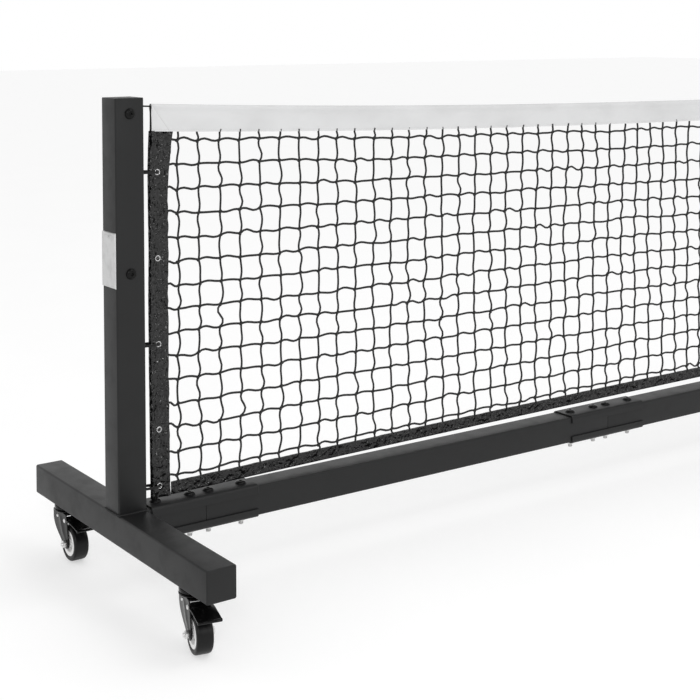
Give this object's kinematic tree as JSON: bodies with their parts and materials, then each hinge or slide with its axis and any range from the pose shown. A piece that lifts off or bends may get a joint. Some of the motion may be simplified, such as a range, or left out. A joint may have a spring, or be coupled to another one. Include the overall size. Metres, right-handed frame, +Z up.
{
  "type": "portable pickleball net",
  "caption": "Free-standing pickleball net: square-tube base rail bolted together with splice channels, end posts on T feet with braked swivel casters, white-taped net tied between the posts",
  "frame": {"origin": "on the floor, below the middle of the net and of the feet", "axes": "+X runs along the net from the left post to the right, -Y is the front, +Z is up"},
  "size_m": [6.7268, 0.7, 0.9195],
  "materials": {
    "frame_paint": "satin charcoal powder coat",
    "plate": "satin, slightly worn",
    "black_vinyl": "wrinkled gloss vinyl",
    "dowel": "matte black fibreglass rod",
    "twine": "knotted braided twine",
    "white_vinyl": "white vinyl-coated tape",
    "zinc": "bright zinc plate",
    "caster_black": "gloss black electrocoat",
    "hub": "light grey moulded nylon",
    "tyre": "matte black"
  },
  "bodies": {
    "frame": {"foot_left": "frame_paint", "post_left": "frame_paint", "name_plate_left": "plate", "side_band_left": "black_vinyl", "net_dowel_left": "dowel", "net_tie_left_top": "twine", "net_tie_left_middle": "twine", "net_tie_left_bottom": "twine", "foot_right": "frame_paint", "post_right": "frame_paint", "name_plate_right": "plate", "side_band_right": "black_vinyl", "net_dowel_right": "dowel", "net_tie_right_top": "twine", "net_tie_right_middle": "twine", "net_tie_right_bottom": "twine", "rail_1": "frame_paint", "rail_2": "frame_paint", "rail_3": "frame_paint", "rail_4": "frame_paint", "rail_5": "frame_paint", "rail_6": "frame_paint", "splice_top_1": "frame_paint", "splice_top_2": "frame_paint", "splice_top_3": "frame_paint", "splice_top_4": "frame_paint", "splice_top_5": "frame_paint", "splice_top_6": "frame_paint", "splice_top_7": "frame_paint", "splice_bottom_1": "frame_paint", "splice_bottom_2": "frame_paint", "splice_bottom_3": "frame_paint", "splice_bottom_4": "frame_paint", "splice_bottom_5": "frame_paint", "splice_bottom_6": "frame_paint", "splice_bottom_7": "frame_paint", "net_mesh": "twine", "top_tape": "white_vinyl", "bottom_band": "black_vinyl", "headline_cord": "twine", "caster_left_front_stem": "zinc", "caster_left_back_stem": "zinc", "caster_right_front_stem": "zinc", "caster_right_back_stem": "zinc"},
    "swivel_left_front": {"caster_left_front_fork": "caster_black"},
    "wheel_left_front": {"caster_left_front_hub": "hub", "caster_left_front_tyre": "tyre"},
    "brake_left_front": {"caster_left_front_pedal": "caster_black"},
    "swivel_left_back": {"caster_left_back_fork": "caster_black"},
    "wheel_left_back": {"caster_left_back_hub": "hub", "caster_left_back_tyre": "tyre"},
    "brake_left_back": {"caster_left_back_pedal": "caster_black"},
    "swivel_right_front": {"caster_right_front_fork": "caster_black"},
    "wheel_right_front": {"caster_right_front_hub": "hub", "caster_right_front_tyre": "tyre"},
    "brake_right_front": {"caster_right_front_pedal": "caster_black"},
    "swivel_right_back": {"caster_right_back_fork": "caster_black"},
    "wheel_right_back": {"caster_right_back_hub": "hub", "caster_right_back_tyre": "tyre"},
    "brake_right_back": {"caster_right_back_pedal": "caster_black"}
  },
  "joints": [
    {"name": "swivel_left_front", "type": "hinge", "parent": "frame", "child": "swivel_left_front", "pos_m": [-3.32423, -0.257, 0.09], "axis": [0, 0, 1], "continuous": true},
    {"name": "roll_left_front", "type": "hinge", "parent": "swivel_left_front", "child": "wheel_left_front", "pos_m": [-3.33046, -0.28634, 0.035], "axis": [0.9781, -0.2079, 0], "continuous": true},
    {"name": "brake_left_front", "type": "hinge", "parent": "swivel_left_front", "child": "brake_left_front", "pos_m": [-3.32922, -0.28048, 0.0785], "axis": [0.9781, -0.2079, 0], "range_deg": [0, 14]},
    {"name": "swivel_left_back", "type": "hinge", "parent": "frame", "child": "swivel_left_back", "pos_m": [-3.32423, 0.257, 0.09], "axis": [0, 0, 1], "continuous": true},
    {"name": "roll_left_back", "type": "hinge", "parent": "swivel_left_back", "child": "wheel_left_back", "pos_m": [-3.32423, 0.227, 0.035], "axis": [1, 0, 0], "continuous": true},
    {"name": "brake_left_back", "type": "hinge", "parent": "swivel_left_back", "child": "brake_left_back", "pos_m": [-3.32423, 0.233, 0.0785], "axis": [1, 0, 0], "range_deg": [0, 14]},
    {"name": "swivel_right_front", "type": "hinge", "parent": "frame", "child": "swivel_right_front", "pos_m": [3.32423, -0.257, 0.09], "axis": [0, 0, 1], "continuous": true},
    {"name": "roll_right_front", "type": "hinge", "parent": "swivel_right_front", "child": "wheel_right_front", "pos_m": [3.33046, -0.28634, 0.035], "axis": [0.9781, 0.2079, 0], "continuous": true},
    {"name": "brake_right_front", "type": "hinge", "parent": "swivel_right_front", "child": "brake_right_front", "pos_m": [3.32922, -0.28048, 0.0785], "axis": [0.9781, 0.2079, 0], "range_deg": [0, 14]},
    {"name": "swivel_right_back", "type": "hinge", "parent": "frame", "child": "swivel_right_back", "pos_m": [3.32423, 0.257, 0.09], "axis": [0, 0, 1], "continuous": true},
    {"name": "roll_right_back", "type": "hinge", "parent": "swivel_right_back", "child": "wheel_right_back", "pos_m": [3.32684, 0.22711, 0.035], "axis": [0.9962, 0.0872, 0], "continuous": true},
    {"name": "brake_right_back", "type": "hinge", "parent": "swivel_right_back", "child": "brake_right_back", "pos_m": [3.32632, 0.23309, 0.0785], "axis": [0.9962, 0.0872, 0], "range_deg": [0, 14]}
  ]
}
